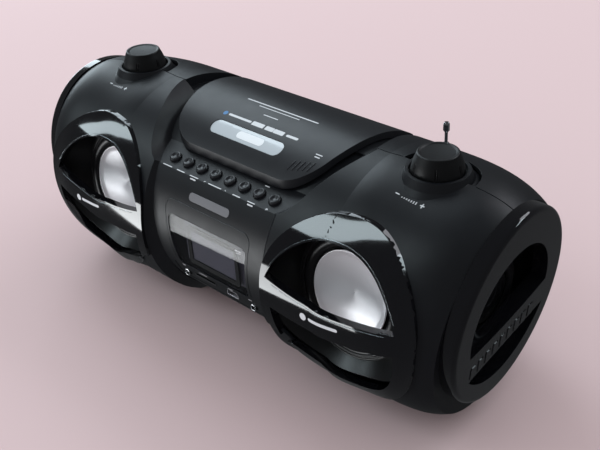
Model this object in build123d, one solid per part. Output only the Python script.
"""Portable CD radio: two round speaker pods joined by a lower centre section.

Millimetres, +Z up.  The front faces -Y and X runs along the barrel.  The origin is
on the surface the feet stand on, under the middle of the whole object.
"""

from build123d import *
from math import cos, radians, sin, sqrt
import os

# Casing: the pods are one barrel, the centre section is a slightly smaller one.
POD_RADIUS = 97.0
POD_Y = 1.0
POD_Z = 90.0
POD_INNER_X = 70.2
START_X = 120.0
SHOULDER_X = 150.0
CHAMFER_LENGTH = 10.0
CHAMFER_DEPTH = 9.0
CENTRE_RADIUS = 93.0
CENTRE_Y = 4.0
CENTRE_Z = 96.0
CENTRE_HALF = 80.0
WALL = 3.0
UNDERSIDE_Z = 5.0
SEAM_Y = -4.3
SEAM_GROOVE = 0.7
GAP = 0.3
FAR = 300.0

# Scooped deck that carries the buttons and the disc lid.
DECK_Y = 6.5
DECK_Z = 91.8
DECK_RADIUS = 84.5
PLATFORM_RADIUS = 86.5
LEDGE_Y = -63.0
LEDGE_Z = 151.3
LEDGE_SLOPE = 18.0
RECESS_BACK_Y = 78.5

# Disc lid and its hinge.
LID_RADIUS = 93.0
LID_SHELL = 3.2
LID_SKIRT_RADIUS = 87.3
LID_FRONT_Y = -53.0
LID_BACK_Y = 71.5
LID_LOW_Z = 146.0
LID_HINGE_Y = 74.6
LID_HINGE_Z = 153.6
LID_ARM_X = 48.0
KNUCKLE_RADIUS = 2.4
HINGE_PIN_RADIUS = 1.1
RUNNING = 0.06
WINDOW_LENGTH = 79.0
WINDOW_WIDTH = 12.6
WINDOW_X = -1.6
WINDOW_Y = -34.0

CATCH_X = 56.0
CATCH_Y = -34.0
CATCH_Z = 150.0

# Disc drive.
DISC_Y = 12.0
WELL_RADIUS = 61.5
WELL_FLOOR_Z = 142.0
DECK_BASE_Z = 139.5
SLED_X = 25.0
SLED_TRAVEL = 33.0
RAIL_Z = 133.0
RAIL_RADIUS = 1.5

# Controls.
BUTTON_COUNT = 8
BUTTON_PITCH = 16.25
BUTTON_RADIUS = 5.0
BUTTON_PROUD = 2.6
BUTTON_TRAVEL = 1.0
KNOB_X = 162.0
KNOB_Y = -5.0
KNOB_TOP_Z = 202.0
COLLAR_RADIUS = 22.0
COLLAR_TOP_Z = 188.6
KNOB_SHAFT_RADIUS = 3.0

# Front speakers.
RING_X = 139.1
RING_Z = 108.0
RING_HALF = 68.9
RING_RISE = 59.4
RING_PROUD = 2.8
RING_DEEP = 3.5
DRIVER_X = 133.0
DRIVER_Y = -63.4
DRIVER_Z = 102.4
DRIVER_TILT = 9.0
DISH_RADIUS = 34.4
DISH_DEPTH = 6.0
COIL_RADIUS = 12.5

# End caps.
END_X = 227.7
END_Y = -5.7
END_Z = 99.7
END_HALF_Y = 71.5
END_HALF_Z = 78.0
END_THICK = 12.0
RADIATOR_RADIUS = 21.0
RADIATOR_Y = 9.0
RADIATOR_Z = -8.0

# Back and underside.
ANTENNA_X = 111.0
ANTENNA_Y = 76.0
ANTENNA_PIVOT_Z = 44.0
DOOR_HALF = 63.0
DOOR_LOW_Z = 36.0
DOOR_HIGH_Z = 114.6
DOOR_PIN_Y = 74.8
DOOR_PIN_Z = 37.8
DOOR_PIN_RADIUS = 1.0
BAY_Y = 50.0
CELL_DIAMETER = 26.2
INLET_X = -125.0
INLET_Z = 60.0
FOOT_X = 136.5

# Sockets in the port strip.
USB_X = 16.9
USB_Z = 58.0
CARD_X = -16.0
JACK_X = 40.0
JACK_Z = 54.2
JACK_BORE_RADIUS = 1.8

POD = Pos(0, POD_Y, POD_Z)
CENTRE = Pos(0, CENTRE_Y, CENTRE_Z)
DECK = Pos(0, DECK_Y, DECK_Z)
ALONG_X = Rot(0, 90, 0)
ALONG_Y = Rot(90, 0, 0)
STANDING = (Align.CENTER, Align.CENTER, Align.MIN)


def block(x_range, y_range, z_range):
    """A box between two limits along each axis."""
    size = [high - low for low, high in (x_range, y_range, z_range)]
    middle = [(high + low) / 2 for low, high in (x_range, y_range, z_range)]
    return Pos(*middle) * Box(*size)


def barrel(place, radius, half_length):
    """A cylinder along X, centred on x = 0."""
    return place * ALONG_X * Cylinder(radius, 2 * half_length)


def tube(outer, inner, height):
    """A ring standing on z = 0."""
    return Cylinder(outer, height, align=STANDING) - Cylinder(inner, height, align=STANDING)


def disc(radius, low, high):
    """A cylinder about Z between two heights."""
    return Pos(0, 0, low) * Cylinder(radius, high - low, align=STANDING)


def turned(*points):
    """A solid turned about Z from (radius, height) points on straight runs."""
    outline = Polyline(*[(r, 0, z) for r, z in points], close=True)
    return revolve(make_face(outline), Axis.Z)


def both_sides(shape):
    """The shape and its mirror image about the middle plane."""
    return shape + mirror(shape, Plane.YZ)


def left_of(shape):
    return mirror(shape, Plane.YZ)


# ---------------------------------------------------------------- frames of reference

END_PLANE = Plane(
    origin=(END_X, END_Y, END_Z), x_dir=(-0.05, 1, 0), z_dir=(1, 0.05, -0.1)
)
DRIVER_PLANE = Plane(
    origin=(DRIVER_X, DRIVER_Y, DRIVER_Z),
    x_dir=(1, 0, 0),
    z_dir=(0, -cos(radians(DRIVER_TILT)), sin(radians(DRIVER_TILT))),
)
LEDGE_PLANE = Plane(
    origin=(0, LEDGE_Y, LEDGE_Z),
    x_dir=(1, 0, 0),
    z_dir=(0, -sin(radians(LEDGE_SLOPE)), cos(radians(LEDGE_SLOPE))),
)


def above(plane, offset):
    """A large block on the positive side of a plane."""
    return plane * Pos(0, 0, offset) * Box(2 * FAR, 2 * FAR, FAR, align=STANDING)


# ---------------------------------------------------------------------------- casing


def oval(x, y, z, half_y, half_z, inset):
    """An upright oval across the barrel."""
    place = Plane(origin=(x, y, z), x_dir=(0, 1, 0), z_dir=(1, 0, 0))
    return place * Ellipse(half_y - inset, half_z - inset)


def pod_body(inset):
    """The right pod: its inner end is chamfered down to the centre section."""
    radius = POD_RADIUS - inset
    start = POD_INNER_X - CHAMFER_LENGTH + max(inset, 0)
    corner = POD_INNER_X + inset * 0.7
    chamfer = Polyline(
        (0, radius - CHAMFER_DEPTH),
        (start, radius - CHAMFER_DEPTH),
        (corner, radius),
        (corner, 2 * radius),
        (0, 2 * radius),
        close=True,
    )
    beyond = block((start, FAR), (-FAR, FAR), (-FAR, FAR))
    return (pod_barrel(inset) & beyond) - POD * revolve(make_face(chamfer), Axis.X)


def pod_barrel(inset):
    """A pod before its inner end is cut: a barrel, then a shoulder that leans forwards and up."""
    straight = POD * ALONG_X * Cylinder(POD_RADIUS - inset, START_X, align=STANDING)
    shoulder = loft(
        [
            oval(START_X, POD_Y, POD_Z, POD_RADIUS, POD_RADIUS, inset),
            oval(SHOULDER_X, POD_Y, POD_Z, POD_RADIUS - 0.2, POD_RADIUS - 0.2, inset),
            oval(SHOULDER_X + 30, POD_Y - 1, POD_Z + 1, POD_RADIUS - 3, POD_RADIUS - 3, inset),
            oval(SHOULDER_X + 58, -4.2, 94, 84.3, 88, inset),
            oval(SHOULDER_X + 76, END_Y, END_Z - 1, END_HALF_Y - 1, END_HALF_Z - 1, inset),
            oval(SHOULDER_X + 90, END_Y, END_Z + 1, END_HALF_Y - 14, END_HALF_Z - 12, inset),
        ]
    )
    return straight + shoulder - above(END_PLANE, -END_THICK - inset)


def scoop(inset):
    """Everything above the deck, ahead of the seam: between two flared walls, over the ledge."""
    foot = (58 + inset, LEDGE_Z - 5 - inset)
    lip = (114 + inset, 189.5)
    low = LEDGE_Z - 12
    wall = Spline(foot, (76 + inset, 153.4), (94 + inset, 175), lip, tangents=[(1, 0.2), (1, 0.45)])
    sky = Polyline(lip, (lip[0], FAR), (-lip[0], FAR), (-lip[0], lip[1]))
    floor = Polyline((-foot[0], foot[1]), (-foot[0], low), (foot[0], low), foot)
    outline = make_face(wall + sky + mirror(wall, Plane.YZ) + floor)
    trough = extrude(Plane.XZ * Pos(0, 0, -SEAM_Y) * outline, FAR, dir=(0, -1, 0))
    trough &= above(LEDGE_PLANE, -inset)
    return trough - barrel(DECK, DECK_RADIUS - inset, FAR)


def recess(inset):
    """The steep-sided well behind the seam that the back of the lid lies in."""
    edge = Spline(
        (107 + inset, SEAM_Y),
        (103 + inset, 35),
        (88, RECESS_BACK_Y + inset),
        tangents=[(0, 1), (-1, 0.4)],
    )
    straight = Line((88, RECESS_BACK_Y + inset), (-88, RECESS_BACK_Y + inset))
    close = Line((-107 - inset, SEAM_Y), (107 + inset, SEAM_Y))
    outline = make_face(edge + straight + mirror(edge, Plane.YZ) + close)
    well = extrude(Plane.XY * Pos(0, 0, 120) * outline, 100)
    return well - barrel(DECK, PLATFORM_RADIUS - inset, FAR)


def lid_outline(inset):
    """The lid seen from above."""
    front = LID_FRONT_Y + inset
    back = LID_BACK_Y - inset
    corner = ThreePointArc((50, front), (72 - inset / 2, front + 9), (82 - inset, front + 26))
    side = Spline(
        (82 - inset, front + 26),
        (90 - inset, 30),
        (90 - inset, back - 16),
        tangents=[(0.35, 1), (0, 1)],
    )
    heel = RadiusArc((90 - inset, back - 16), (74 - inset, back), -16)
    half = corner + side + heel
    ends = Line((-50, front), (50, front)) + Line((74 - inset, back), (inset - 74, back))
    return make_face(half + mirror(half, Plane.YZ) + ends)


def deck_opening(inset):
    """The hole in the casing under the lid that the disc tray fills."""
    hole = extrude(Pos(0, 0, 100) * lid_outline(7 + inset), 120)
    back = block((inset - 60, 60 - inset), (40, RECESS_BACK_Y - inset), (100, 220))
    return hole + back + Pos(0, DISC_Y, 0) * disc(WELL_RADIUS + 2.6 - inset, 100, 220)


def ring_outline(inset):
    """The outer edge of a front surround, in X and Z."""
    half = RING_HALF - inset
    top = EllipticalCenterArc((RING_X, RING_Z), half, RING_RISE - inset, start_angle=0, arc_size=180)
    low = Spline(
        (RING_X + half, RING_Z),
        (RING_X + half - 8, RING_Z - 45),
        (RING_X + half - 34, RING_Z - 70 + inset),
        (RING_X, RING_Z - 76 + inset),
        (RING_X - half + 34, RING_Z - 70 + inset),
        (RING_X - half + 8, RING_Z - 45),
        (RING_X - half, RING_Z),
        tangents=[(0, -1), (0, 1)],
    )
    return make_face(top + low)


def upper_mouth():
    """The arched opening above a surround's band."""
    arch = ThreePointArc((75, 109), (132, 151), (193.5, 111))
    sill = ThreePointArc((193.5, 111), (133, 102.6), (75, 109))
    return make_face(arch + sill)


def lower_mouth():
    """The crescent opening below a surround's band."""
    sill = ThreePointArc((80, 85), (134, 83), (193, 94))
    bowl = Spline(
        (193, 94),
        (180, 55),
        (138, 41),
        (93, 53),
        (80, 85),
        tangents=[(0.1, -1), (-0.1, 1)],
    )
    return make_face(sill + bowl)


def through_front(outline):
    """An X-Z outline pushed through the front half."""
    return extrude(Plane.XZ * Pos(0, 0, 20) * outline, 120, dir=(0, -1, 0))


def display_outline(inset):
    """The display window: a little wider at the top than at the bottom."""
    corners = Polygon(
        (inset - 46, 115 - inset),
        (46 - inset, 115 - inset),
        (41.5 - inset, 67 + inset),
        (inset - 41.5, 67 + inset),
        align=None,
    )
    return fillet(corners.vertices(), 5)


def port_outline(inset):
    return Pos(0, 54.3) * RectangleRounded(104 - 2 * inset, 20.6 - 2 * inset, 3)


def knob_collar(inset):
    """The flared collar that a knob turns in."""
    flare = turned(
        (0, 150),
        (30 - inset, 150),
        (30 - inset, 179),
        (26 - inset, 182.5),
        (COLLAR_RADIUS + 1.2 - inset, COLLAR_TOP_Z - inset),
        (0, COLLAR_TOP_Z - inset),
    )
    return Pos(KNOB_X, KNOB_Y, 0) * flare


def casing():
    """The whole outer skin, before it is parted at the seam."""
    outer = both_sides(pod_body(0)) + barrel(CENTRE, CENTRE_RADIUS, CENTRE_HALF)
    outer -= scoop(0)
    outer -= recess(0)
    outer &= block((-FAR, FAR), (-FAR, FAR), (UNDERSIDE_Z, FAR))
    outer += both_sides(knob_collar(0) & block((0, FAR), (-FAR, FAR), (150, FAR)))
    hollow = both_sides(pod_body(WALL))
    hollow += barrel(CENTRE, CENTRE_RADIUS - WALL, CENTRE_HALF - WALL)
    hollow -= scoop(WALL)
    hollow -= recess(WALL)
    hollow -= antenna_channel(2.5)
    hollow &= block((-FAR, FAR), (-FAR, FAR), (UNDERSIDE_Z + WALL, FAR))
    hollow -= battery_bay(2.5)
    return outer - hollow


def antenna_channel(inset):
    """The upright groove at the back that the folded antenna stands in."""
    half = 5 + inset
    low = ANTENNA_PIVOT_Z - 9 - inset
    return block(
        (ANTENNA_X - half, ANTENNA_X + half), (ANTENNA_Y - 6 - inset, FAR), (low, 230)
    )


def battery_bay(inset):
    half = DOOR_HALF + 0.5 + inset
    return block(
        (-half, half),
        (BAY_Y - inset, FAR),
        (DOOR_LOW_Z - 0.5 - inset, DOOR_HIGH_Z + 0.5 + inset),
    )


def button_places():
    """The centre of each button along X, from left to right."""
    first = -(BUTTON_COUNT - 1) / 2 * BUTTON_PITCH
    return [first + index * BUTTON_PITCH for index in range(BUTTON_COUNT)]


def collar_bore():
    """The pocket inside a collar, and the hole for the knob's shaft below it."""
    pocket = disc(COLLAR_RADIUS - 1.2, 184.5, 220)
    shaft = disc(KNOB_SHAFT_RADIUS + 1, 140, 220)
    return Pos(KNOB_X, KNOB_Y, 0) * (pocket + shaft)


def collar_hollow():
    """The space under a collar's pocket, inside the pod."""
    return Pos(KNOB_X, KNOB_Y, 0) * disc(COLLAR_RADIUS + 3, 150, 181.5)


def seam_groove():
    """The fine line along the seam on the pods, broken where the collars stand."""
    half = SEAM_GROOVE / 2
    line = block((POD_INNER_X, FAR), (SEAM_Y - half, SEAM_Y + half), (UNDERSIDE_Z, FAR))
    line &= pod_barrel(-1) - pod_barrel(SEAM_GROOVE)
    return both_sides(line - Pos(KNOB_X, KNOB_Y, 0) * disc(31, 150, 220))


def front_shell(skin):
    shell = skin & block((-FAR, FAR), (-FAR, SEAM_Y), (-FAR, FAR))
    shell -= seam_groove()
    shell += both_sides(knob_collar(0) & block((0, FAR), (-FAR, FAR), (176, FAR)))
    shell -= both_sides(collar_bore() + collar_hollow())
    shell -= both_sides(through_front(ring_outline(2)))
    shell -= through_front(display_outline(0))
    shell -= through_front(port_outline(0))
    shell -= deck_opening(0)
    for x in button_places():
        shell -= LEDGE_PLANE * Pos(x, 0, 0) * Cylinder(BUTTON_RADIUS + GAP, 20)
    shell -= both_sides(end_bore(0.3))
    return shell


def end_bore(grow):
    """The oval hole in a pod's end that its end cap plugs into."""
    return extrude(END_PLANE * Pos(0, 0, -60) * Ellipse(61.5 + grow, 67.5 + grow), 60)


def rear_shell(skin):
    shell = skin & block((-FAR, FAR), (SEAM_Y, FAR), (-FAR, FAR))
    shell -= seam_groove()
    shell -= both_sides(Pos(KNOB_X, KNOB_Y, 0) * disc(30, 150, 220))
    shell -= antenna_channel(0)
    shell -= battery_bay(0)
    shell -= deck_opening(0)
    shell -= both_sides(end_bore(0.3))
    shell -= block((INLET_X - 11, INLET_X + 11), (60, FAR), (INLET_Z - 7, INLET_Z + 7))
    for place in screw_places():
        shell += place * disc(5, -14, -2)
        shell -= place * disc(4, -4, 20)
        shell -= place * disc(1.5, -20, 1)
    return shell - door_axle(DOOR_PIN_RADIUS + RUNNING, DOOR_HALF + 2.2)


# ------------------------------------------------------------------ fasteners and feet


def screw_places():
    """Where each case screw's hole meets the back, facing the way that it comes out."""
    spots = [(-60, 126), (60, 126), (-150, 45), (150, 45), (-150, 140), (150, 140)]
    places = []
    for x, z in spots:
        centre_y, centre_z, radius = POD_Y, POD_Z, POD_RADIUS
        if abs(x) < POD_INNER_X:
            centre_y, centre_z, radius = CENTRE_Y, CENTRE_Z, CENTRE_RADIUS
        y = centre_y + sqrt(radius**2 - (z - centre_z) ** 2)
        places.append(Plane(origin=(x, y, z), z_dir=(0, 1, 0)))
    return places


def case_screws():
    screw = disc(3.2, -4, -1.6) + disc(1.45, -14, -4) - disc(1.0, -2.6, -1.6)
    return [place * screw for place in screw_places()]


def feet():
    foot = block((-15.5, 15.5), (-7, 7), (0, UNDERSIDE_Z))
    foot = fillet(foot.edges().filter_by(Axis.Z), 4)
    foot = fillet(foot.faces().sort_by(Axis.Z)[0].edges(), 1)
    return [Pos(x, y, 0) * foot for x in (-FOOT_X, FOOT_X) for y in (-33, 38)]


# ----------------------------------------------------------------------- disc section


def lid_arm():
    """One hinge knuckle on the back edge of the lid, with the bore its pin runs in."""
    x_range = (LID_ARM_X - 4, LID_ARM_X + 4)
    arm = block(x_range, (LID_BACK_Y - 2, LID_HINGE_Y), (LID_HINGE_Z - 2.2, LID_HINGE_Z + 2.2))
    axle = Pos(LID_ARM_X, LID_HINGE_Y, LID_HINGE_Z) * ALONG_X
    return arm + axle * Cylinder(KNUCKLE_RADIUS, 8) - axle * Cylinder(HINGE_PIN_RADIUS + RUNNING, 20)


def lid_hook():
    """The tab that drops into the catch at the front right."""
    low = CATCH_Z + 8
    x_range = (CATCH_X - 4, CATCH_X + 4)
    stem = block(x_range, (CATCH_Y - 2, CATCH_Y + 0.5), (low, 178))
    stem &= barrel(DECK, LID_RADIUS - 1, FAR)
    return stem + block(x_range, (CATCH_Y - 3.2, CATCH_Y - 2), (low, low + 2))


def window_slot(grow):
    """The round-ended slot in the lid, as a prism along Z."""
    shape = SlotOverall(WINDOW_LENGTH + 2 * grow, WINDOW_WIDTH + 2 * grow)
    return extrude(Pos(WINDOW_X, WINDOW_Y, 150) * shape, 60)


def cd_lid():
    prism = extrude(Pos(0, 0, 120) * lid_outline(0), 100)
    inner = extrude(Pos(0, 0, 120) * lid_outline(2.4), 100)
    skin = prism & barrel(DECK, LID_RADIUS, FAR)
    skin -= barrel(DECK, LID_RADIUS - LID_SHELL, FAR)
    skirt = (prism - inner) & barrel(DECK, LID_RADIUS - 1, FAR)
    skirt -= barrel(DECK, LID_SKIRT_RADIUS, FAR)
    lid = skin + skirt
    lid -= block((-FAR, FAR), (-FAR, -40), (100, FAR)) - above(LEDGE_PLANE, 0.7)
    lid &= block((-FAR, FAR), (-FAR, FAR), (LID_LOW_Z, FAR))
    lid += both_sides(lid_arm()) + lid_hook()
    lid -= window_slot(0)
    ledge = (window_slot(2) - window_slot(-1)) & barrel(DECK, LID_RADIUS - 2.4, FAR)
    return lid + (ledge - barrel(DECK, LID_RADIUS - LID_SHELL - 1, FAR))


def lid_window():
    pane = window_slot(-0.1) & barrel(DECK, LID_RADIUS - 0.5, FAR)
    return pane - barrel(DECK, LID_RADIUS - 2.4, FAR)


def lid_hinge_pins():
    pin = Pos(LID_ARM_X, LID_HINGE_Y, LID_HINGE_Z) * ALONG_X
    pin = pin * Cylinder(HINGE_PIN_RADIUS, 16)
    return [pin, left_of(pin)]


def hinge_pin_holes():
    pin = Pos(LID_ARM_X, LID_HINGE_Y, LID_HINGE_Z) * ALONG_X * Cylinder(HINGE_PIN_RADIUS, 16)
    return both_sides(pin)


def hinge_ears():
    """Two ears each side that hold a hinge pin above the tray."""
    ears = []
    for x in (LID_ARM_X - 6.4, LID_ARM_X + 6.4):
        y_range = (LID_HINGE_Y - 2.2, LID_HINGE_Y + 2.2)
        plate = block((x - 1.6, x + 1.6), y_range, (DECK_BASE_Z, LID_HINGE_Z))
        boss = Pos(x, LID_HINGE_Y, LID_HINGE_Z) * ALONG_X * Cylinder(2.2, 3.2)
        ears.append(plate + boss)
    return both_sides(ears[0] + ears[1])


def cd_deck():
    """The disc tray: a curved top skin, side walls and a round well."""
    top = barrel(DECK, DECK_RADIUS - 0.2, FAR)
    under = barrel(DECK, DECK_RADIUS - 2.6, FAR)
    slab = block((-FAR, FAR), (-FAR, FAR), (DECK_BASE_Z, FAR))
    body = deck_opening(GAP) & top & slab
    inside = deck_opening(GAP + 2.4) & under
    tray = body - inside
    tray += (Pos(0, DISC_Y, DECK_BASE_Z) * tube(WELL_RADIUS + 2.3, WELL_RADIUS, 45)) & top
    tray -= Pos(0, DISC_Y, 0) * disc(WELL_RADIUS, WELL_FLOOR_Z, 200)
    tray += Pos(0, DISC_Y, 0) * disc(WELL_RADIUS + 2.3, DECK_BASE_Z, WELL_FLOOR_Z)
    tray += block((12, 73), (DISC_Y - 24, DISC_Y + 22), (DECK_BASE_Z, WELL_FLOOR_Z - 0.5))
    tray -= Pos(0, DISC_Y, 0) * disc(16.5, 130, 150)
    tray -= block((17, 65), (DISC_Y - 7, DISC_Y + 7), (130, 150))
    tray -= block((CATCH_X - 5, CATCH_X + 5), (CATCH_Y - 4.5, CATCH_Y + 3), (145, 175))
    for x in (12.4, 68.8):
        tray += block((x, x + 2.4), (DISC_Y - 23, DISC_Y + 21), (129, DECK_BASE_Z))
    return tray + hinge_ears() - sled_rods() - hinge_pin_holes()


def sled_rods():
    rod = ALONG_X * Cylinder(RAIL_RADIUS, 200)
    return Pos(0, DISC_Y - 19, RAIL_Z) * rod + Pos(0, DISC_Y + 17, RAIL_Z) * rod


def disc_spindle():
    return Pos(0, DISC_Y, 0) * turned(
        (0, 128),
        (RAIL_RADIUS, 128),
        (RAIL_RADIUS, 142.5),
        (15, 142.5),
        (15.5, 143),
        (15.5, 145.6),
        (7.4, 146),
        (7.2, 149.4),
        (6.2, 150.4),
        (0, 150.4),
    )


def spindle_motor():
    body = disc(12.2, 122, DECK_BASE_Z - 0.4)
    flange = disc(14, 134, DECK_BASE_Z - 0.4) & block((-14, 12), (-14, 14), (120, 150))
    return Pos(0, DISC_Y, 0) * (body + flange - disc(RAIL_RADIUS + RUNNING, 127, 150))


def laser_sled():
    body = block((SLED_X - 9, SLED_X + 9), (DISC_Y - 23, DISC_Y + 21), (128.5, 138))
    body = fillet(body.edges().filter_by(Axis.Z), 2)
    body += Pos(SLED_X, DISC_Y, 0) * turned(
        (0, 137), (6, 137), (6, 139.6), (4.4, 140.4), (3, 140.4), (2.6, 141), (0, 141.2)
    )
    for y in (DISC_Y - 19, DISC_Y + 17):
        body -= Pos(0, y, RAIL_Z) * ALONG_X * Cylinder(RAIL_RADIUS + RUNNING, 200)
    return body


def sled_rail():
    return Pos(41.5, DISC_Y - 19, RAIL_Z) * ALONG_X * Cylinder(RAIL_RADIUS, 59.8)


def sled_screw():
    screw = Pos(41.5, DISC_Y + 17, RAIL_Z) * ALONG_X * Cylinder(RAIL_RADIUS - 0.04, 59.8)
    return screw + Pos(74.4, DISC_Y + 17, RAIL_Z) * ALONG_X * Cylinder(0.8, 6.4)


def sled_motor():
    body = Pos(79.4, DISC_Y + 17, RAIL_Z) * ALONG_X * Cylinder(6, 15)
    return body - Pos(72, DISC_Y + 17, RAIL_Z) * ALONG_X * Cylinder(0.86, 14)


def lid_catch():
    """A pocket in the corner between the disc well and the tray's side wall."""
    box = block((CATCH_X - 6.5, CATCH_X + 6.5), (CATCH_Y - 6, CATCH_Y + 5), (CATCH_Z - 2, 175))
    box &= barrel(DECK, DECK_RADIUS - 2.7, FAR) & deck_opening(GAP + 2.5)
    box -= Pos(0, DISC_Y, 0) * disc(WELL_RADIUS + 2.4, 100, 200)
    well = block((CATCH_X - 4.6, CATCH_X + 4.6), (CATCH_Y - 4.4, CATCH_Y + 3.2), (CATCH_Z, 180))
    return box - well


def catch_slider():
    x_range = (CATCH_X - 4.2, CATCH_X + 4.2)
    slider = block(x_range, (CATCH_Y - 4, CATCH_Y + 2.8), (CATCH_Z + 2.4, CATCH_Z + 7.4))
    return slider - block((CATCH_X - 2, CATCH_X + 2), (CATCH_Y - 2.4, CATCH_Y + 1.2), (CATCH_Z + 5.4, 170))


# -------------------------------------------------------------------------- controls


def button_cap():
    """A round button with a dished top and a flange that keeps it in the deck."""
    top = BUTTON_PROUD
    flange = -WALL - BUTTON_TRAVEL / 2
    return turned(
        (0, flange - 2.7),
        (2, flange - 2.7),
        (2, flange - 1.1),
        (BUTTON_RADIUS + 1.2, flange - 1.1),
        (BUTTON_RADIUS + 1.2, flange),
        (BUTTON_RADIUS, flange),
        (BUTTON_RADIUS, top - 0.9),
        (BUTTON_RADIUS - 0.6, top - 0.2),
        (BUTTON_RADIUS - 1.4, top),
        (BUTTON_RADIUS - 2.0, top - 0.2),
        (1.2, top - 0.9),
        (0, top - 0.95),
    )


def button_board():
    """The circuit board under the buttons, with a switch below each one."""
    half = BUTTON_COUNT / 2 * BUTTON_PITCH + 1
    board = block((-half, half), (-6, 3.6), (-11.2, -9.6))
    for x in button_places():
        board += block((x - 3, x + 3), (-3, 3), (-9.6, -8))
        board += Pos(x, 0, 0) * disc(1.7, -8, -7.5)
    return LEDGE_PLANE * board


def knob():
    """A coned knob with a dished top, on a shaft that drops into its encoder."""
    profile = Polyline(
        (0, 0, 168),
        (KNOB_SHAFT_RADIUS, 0, 168),
        (KNOB_SHAFT_RADIUS, 0, 186),
        (19.2, 0, 186),
        (19.4, 0, 190.5),
        (18.4, 0, 192.6),
    )
    slope = ThreePointArc((18.4, 0, 192.6), (16.4, 0, 198), (14.4, 0, KNOB_TOP_Z - 0.8))
    top = KNOB_TOP_Z
    rim = ThreePointArc((14.4, 0, top - 0.8), (14.1, 0, top - 0.15), (13.4, 0, top))
    dish = ThreePointArc((13.4, 0, top), (8, 0, top - 1.2), (2, 0, top - 1.6))
    axis = Polyline((2, 0, top - 1.6), (0, 0, top - 1.6), (0, 0, 168))
    return revolve(make_face(profile + slope + rim + dish + axis), Axis.Z)


def knob_encoders():
    body = block((-6.5, 6.5), (-6.5, 6.5), (164, 172)) + disc(4.4, 172, 178)
    body -= disc(KNOB_SHAFT_RADIUS + RUNNING, 167, 200)
    body += block((-12, 12), (-9, 9), (162.4, 164))
    return [Pos(x, KNOB_Y, 0) * body for x in (-KNOB_X, KNOB_X)]


# -------------------------------------------------------------------- front speakers


def front_surround():
    """The glossy frame round a speaker, with a band across it."""
    ring = through_front(ring_outline(0)) & (pod_barrel(-RING_PROUD) - pod_barrel(0))
    ring += through_front(ring_outline(2.2)) & (pod_barrel(-0.5) - pod_barrel(RING_DEEP))
    ring -= through_front(upper_mouth())
    return ring - through_front(lower_mouth())


def horn():
    """The dark funnel from a surround back to its driver."""
    mouth = Plane(origin=(RING_X - 2, -93, RING_Z - 12), z_dir=(0, -1, 0), x_dir=(1, 0, 0))
    throat = DRIVER_PLANE.offset(1.0)
    outside = loft([mouth * Ellipse(68.5, 62.5), throat * Circle(52)])
    inside = loft([mouth * Ellipse(66.5, 60.5), throat * Circle(49)])
    outside &= pod_body(RING_DEEP + 0.2)
    return outside - inside


def driver_frame():
    """Pressed basket: a flange, a coned wall with windows and a back plate."""
    basket = turned(
        (42.5, 1),
        (52, 1),
        (52, -1.6),
        (46.4, -1.6),
        (30, -34),
        (15, -34),
        (15, -32),
        (28.6, -32),
        (42.5, -2.6),
    )
    for turn in range(4):
        basket -= Rot(0, 0, 45 + 90 * turn) * block((30, 60), (-12, 12), (-26, -9))
    return DRIVER_PLANE * basket


def driver_magnet():
    motor = disc(35, -48, -34) - disc(COIL_RADIUS + 1.2, -46, -34)
    return DRIVER_PLANE * (motor + disc(COIL_RADIUS - 1.4, -46, -33))


def cone_surround():
    """The rubber roll between the flange and the dish."""
    ring = tube(36, 34.8, 4.2)
    ring = Pos(0, 0, 1.8) * ring
    roll = Pos(0, 0, 1.8) * (tube(46, 35.6, 6) & Torus(40.4, 5.2))
    roll -= Pos(0, 0, 1.8) * Torus(40.4, 4.2)
    lip = Pos(0, 0, 1) * tube(47.5, 44.8, 0.9)
    return DRIVER_PLANE * (ring + roll + lip)


def cone():
    """The spun metal dish and the coil former behind it."""
    bowl_radius = (DISH_RADIUS**2 + DISH_DEPTH**2) / (2 * DISH_DEPTH)
    ball = Pos(0, 0, bowl_radius) * (Sphere(bowl_radius + 1.1) - Sphere(bowl_radius))
    dish = ball & disc(DISH_RADIUS, -5, DISH_DEPTH)
    former = Pos(0, 0, -43) * tube(COIL_RADIUS + 0.4, COIL_RADIUS - 0.4, 43.2)
    return DRIVER_PLANE * (dish + former)


# -------------------------------------------------------------------------- end caps


def end_upper_mouth():
    arch = ThreePointArc((-50, -14), (2, 50), (50, -3))
    sill = ThreePointArc((50, -3), (0, -11), (-50, -14))
    return make_face(arch + sill)


def end_lower_mouth():
    sill = ThreePointArc((-47, -38), (0, -32), (52, -25))
    bowl = ThreePointArc((52, -25), (6, -58), (-47, -38))
    return make_face(sill + bowl)


def end_bezel():
    """The end ring and band, and the baffle that holds the passive radiator."""
    oval = Ellipse(END_HALF_Y, END_HALF_Z)
    ring = extrude(Pos(0, 0, -END_THICK) * oval, END_THICK)
    ring = fillet(ring.faces().sort_by(Axis.Z)[-1].edges(), 3.5)
    ring -= extrude(Pos(0, 0, -END_THICK) * end_upper_mouth(), 2 * END_THICK)
    ring -= extrude(Pos(0, 0, -END_THICK) * end_lower_mouth(), 2 * END_THICK)
    low = -END_THICK - 12
    spigot = extrude(Pos(0, 0, low) * (Ellipse(61.5, 67.5) - Ellipse(58.5, 64.5)), 12)
    baffle = extrude(Pos(0, 0, low) * Ellipse(60, 66), 3)
    baffle -= Pos(RADIATOR_Y, RADIATOR_Z, 0) * disc(RADIATOR_RADIUS + 7, -40, 0)
    return END_PLANE * (ring + spigot + baffle)


def radiator():
    face = disc(RADIATOR_RADIUS, -23.6, -21.4) + disc(RADIATOR_RADIUS - 5, -26, -23.6)
    return END_PLANE * Pos(RADIATOR_Y, RADIATOR_Z, 0) * face


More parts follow.
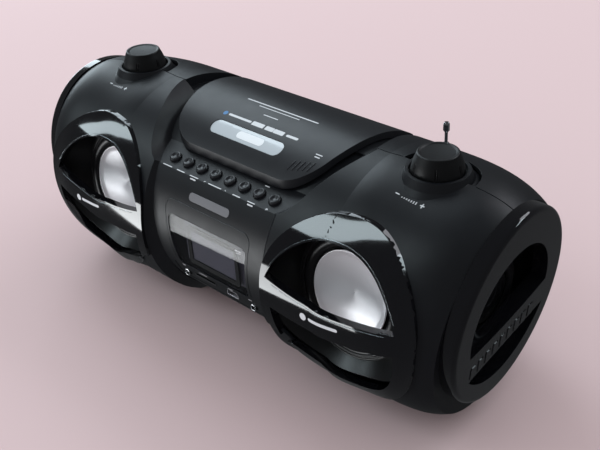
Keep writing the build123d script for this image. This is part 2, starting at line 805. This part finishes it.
def radiator_surround():
    low = -END_THICK - 9
    inner = RADIATOR_RADIUS + 0.4
    roll = tube(RADIATOR_RADIUS + 7, inner, 6) & Torus(RADIATOR_RADIUS + 3.7, 3.3)
    roll -= Torus(RADIATOR_RADIUS + 3.7, 2.4)
    lip = tube(RADIATOR_RADIUS + 10, RADIATOR_RADIUS + 6.4, 0.9)
    return END_PLANE * Pos(RADIATOR_Y, RADIATOR_Z, low) * (roll + lip)


# ------------------------------------------------------------------ display and ports


def centre_layer(outer, inner):
    return barrel(CENTRE, outer, FAR) - barrel(CENTRE, inner, FAR)


def display_window():
    pane = through_front(display_outline(0.15))
    return pane & centre_layer(CENTRE_RADIUS - 0.6, CENTRE_RADIUS - 2.6)


def display_module():
    glass = block((-27, 27), (-82, -79.5), (74, 104))
    board = block((-36, 36), (-79.5, -76), (70, 108))
    return glass + board


def port_panel():
    panel = through_front(port_outline(0.15))
    panel &= centre_layer(CENTRE_RADIUS - 0.4, CENTRE_RADIUS - WALL)
    panel -= block((USB_X - 6.7, USB_X + 6.7), (-FAR, 0), (USB_Z - 3, USB_Z + 3))
    panel -= block((CARD_X - 12.6, CARD_X + 12.6), (-FAR, 0), (USB_Z - 1.7, USB_Z + 1.7))
    for x in (-JACK_X, JACK_X):
        panel -= Pos(x, 0, JACK_Z) * ALONG_Y * Cylinder(3.4, 400)
    return panel


def usb_socket():
    shell = block((USB_X - 6.55, USB_X + 6.55), (-80.6, -66), (USB_Z - 2.85, USB_Z + 2.85))
    return shell - block((USB_X - 6.15, USB_X + 6.15), (-90, -67), (USB_Z - 2.45, USB_Z + 2.45))


def card_slot():
    shell = block((CARD_X - 13.6, CARD_X + 13.6), (-74, -48), (USB_Z - 2.6, USB_Z + 2.6))
    nose = block((CARD_X - 12.5, CARD_X + 12.5), (-80.4, -74), (USB_Z - 1.6, USB_Z + 1.6))
    return shell + nose - block((CARD_X - 12, CARD_X + 12), (-90, -53), (USB_Z - 1.1, USB_Z + 1.1))


def jack_sockets():
    body = block((-4.5, 4.5), (-72, -60), (JACK_Z - 4.5, JACK_Z + 4.5))
    nose = Pos(0, -75.9, JACK_Z) * ALONG_Y * Cylinder(3.3, 8.2)
    socket = body + nose
    socket -= Pos(0, -74, JACK_Z) * ALONG_Y * Cylinder(JACK_BORE_RADIUS, 22)
    return [Pos(x, 0, 0) * socket for x in (-JACK_X, JACK_X)]


# ------------------------------------------------------------- back, power and antenna


def door_axle(radius, half_length):
    """A rod on the axis that the battery door turns about."""
    return barrel(Pos(0, DOOR_PIN_Y, DOOR_PIN_Z), radius, half_length)


def battery_door():
    """The door, with a rounded lower edge and a stub pin at each end of it."""
    panel = block((-DOOR_HALF, DOOR_HALF), (0, FAR), (DOOR_PIN_Z, DOOR_HIGH_Z))
    door = panel & centre_layer(CENTRE_RADIUS - 0.1, CENTRE_RADIUS - 2.6)
    door += door_axle(1.25, DOOR_HALF) + door_axle(DOOR_PIN_RADIUS, DOOR_HALF + 2)
    grip = block((-14, 14), (80, 110), (DOOR_HIGH_Z - 9, DOOR_HIGH_Z - 5))
    return door - (grip & centre_layer(CENTRE_RADIUS + 1, CENTRE_RADIUS - 1.3))


def battery_contacts():
    """Sprung plates at the two ends of each row of cells."""
    pieces = []
    y = BAY_Y + CELL_DIAMETER / 2
    for row in range(3):
        z = DOOR_LOW_Z + (row + 0.5) * CELL_DIAMETER
        plate = Pos(DOOR_HALF - 0.2, y, z) * Box(0.8, 16, 18)
        coil = Pos(3.8 - DOOR_HALF, y, z) * ALONG_X * Cone(6, 3, 7.2)
        pieces += [plate, left_of(plate) + coil]
    return pieces


def ac_inlet():
    """Two-pin mains inlet; no cord is fitted."""
    body = block((INLET_X - 10.8, INLET_X + 10.8), (74, 90.5), (INLET_Z - 6.8, INLET_Z + 6.8))
    body -= block((INLET_X - 8.5, INLET_X + 8.5), (78, 100), (INLET_Z - 4.6, INLET_Z + 4.6))
    for x in (INLET_X - 4.3, INLET_X + 4.3):
        body += Pos(x, 82.5, INLET_Z) * ALONG_Y * Cylinder(1.15, 9)
    return body


def main_board():
    board = block((-60, 60), (-40, 45), (20, 21.6))
    board += block((-40, -12), (5, 35), (21.6, 36))
    board += block((8, 38), (-30, 0), (21.6, 24))
    for x in (-52, -30, 48):
        board += Pos(x, -25, 0) * disc(5, 21.6, 33)
    return board + block((-50, 50), (-8, 0), (8, 20))


def power_transformer():
    core = block((-172, -122), (4, 44), (12, 48))
    coil = fillet(block((-164, -130), (-3, 51), (18, 42)).edges(), 4)
    return core + coil + block((-178, -116), (14, 34), (8, 12))


def antenna_base():
    """The swivel block at the foot of the groove; its ears hold the pivot."""
    foot = block((ANTENNA_X - 4.9, ANTENNA_X + 4.9), (ANTENNA_Y - 5.9, 84), (35.2, 38.4))
    for side in (-1, 1):
        x = ANTENNA_X + side * 3.9
        foot += block((x - 1, x + 1), (ANTENNA_Y - 4, ANTENNA_Y + 4), (38.4, ANTENNA_PIVOT_Z))
        foot += Pos(x, ANTENNA_Y, ANTENNA_PIVOT_Z) * ALONG_X * Cylinder(4, 2)
    return foot + Pos(ANTENNA_X, ANTENNA_Y, ANTENNA_PIVOT_Z) * ALONG_X * Cylinder(1.4, 9)


def antenna_sections():
    """Three nested tubes; the last is a rod with a cap, each a stop for the next."""
    place = Pos(ANTENNA_X, ANTENNA_Y, 0)
    low = ANTENNA_PIVOT_Z
    tongue = block((-2.4, 2.4), (-3, 3), (low, low + 9)) + Pos(0, 0, low) * ALONG_X * Cylinder(3, 4.8)
    tongue -= Pos(0, 0, low) * ALONG_X * Cylinder(1.4 + RUNNING, 10)
    outer = place * (tongue + disc(3.5, low + 7, low + 108) - disc(2.56, low + 12, low + 120))
    middle = place * (disc(2.5, low + 14, low + 116) - disc(1.36, low + 18, low + 120))
    rod = disc(1.3, low + 20, low + 127)
    cap = turned(
        (0, low + 126),
        (1.8, low + 126),
        (2.6, low + 127.2),
        (2.6, low + 132.4),
        (1.8, low + 134),
        (0, low + 134),
    )
    return [outer, middle, place * (rod + cap)]


# ---------------------------------------------------------------------------- output


def write(name, shape):
    """Write one node: a single solid, or a list of separate identical ones."""
    solids = list(shape) if isinstance(shape, list) else [shape]
    children = []
    for item in solids:
        children.extend(item.solids())
    result = children[0] if len(children) == 1 else Compound(children)
    result.label = name
    export_step(result, f"parts/{name}.step")
    print(name, len(children))


def main():
    os.makedirs("parts", exist_ok=True)
    skin = casing()
    nodes = {
        "front_shell": front_shell(skin),
        "rear_shell": rear_shell(skin),
        "case_screws": case_screws(),
        "feet": feet(),
        "cd_deck": cd_deck(),
        "cd_lid": cd_lid(),
        "lid_window": lid_window(),
        "lid_hinge_pins": lid_hinge_pins(),
        "lid_catch": lid_catch(),
        "catch_slider": catch_slider(),
        "disc_spindle": disc_spindle(),
        "spindle_motor": spindle_motor(),
        "laser_sled": laser_sled(),
        "sled_rail": sled_rail(),
        "sled_screw": sled_screw(),
        "sled_motor": sled_motor(),
        "button_board": button_board(),
        "knob_encoders": knob_encoders(),
        "volume_knob": Pos(-KNOB_X, KNOB_Y, 0) * knob(),
        "tuning_knob": Pos(KNOB_X, KNOB_Y, 0) * knob(),
        "driver_magnets": [driver_magnet(), left_of(driver_magnet())],
        "display_window": display_window(),
        "display_module": display_module(),
        "port_panel": port_panel(),
        "usb_socket": usb_socket(),
        "card_slot": card_slot(),
        "jack_sockets": jack_sockets(),
        "battery_door": battery_door(),
        "battery_contacts": battery_contacts(),
        "ac_inlet": ac_inlet(),
        "main_board": main_board(),
        "power_transformer": power_transformer(),
        "antenna_base": antenna_base(),
    }
    for index, x in enumerate(button_places(), start=1):
        nodes[f"button_{index}"] = LEDGE_PLANE * Pos(x, 0, 0) * button_cap()
    for index, section in enumerate(antenna_sections(), start=1):
        nodes[f"antenna_section_{index}"] = section
    handed = {
        "front_surround": front_surround(),
        "horn": horn(),
        "driver_frame": driver_frame(),
        "cone_surround": cone_surround(),
        "cone": cone(),
        "end_bezel": end_bezel(),
        "radiator": radiator(),
        "radiator_surround": radiator_surround(),
    }
    for name, shape in handed.items():
        nodes[f"right_{name}"] = shape
        nodes[f"left_{name}"] = left_of(shape)
    for name, shape in nodes.items():
        write(name, shape)


main()
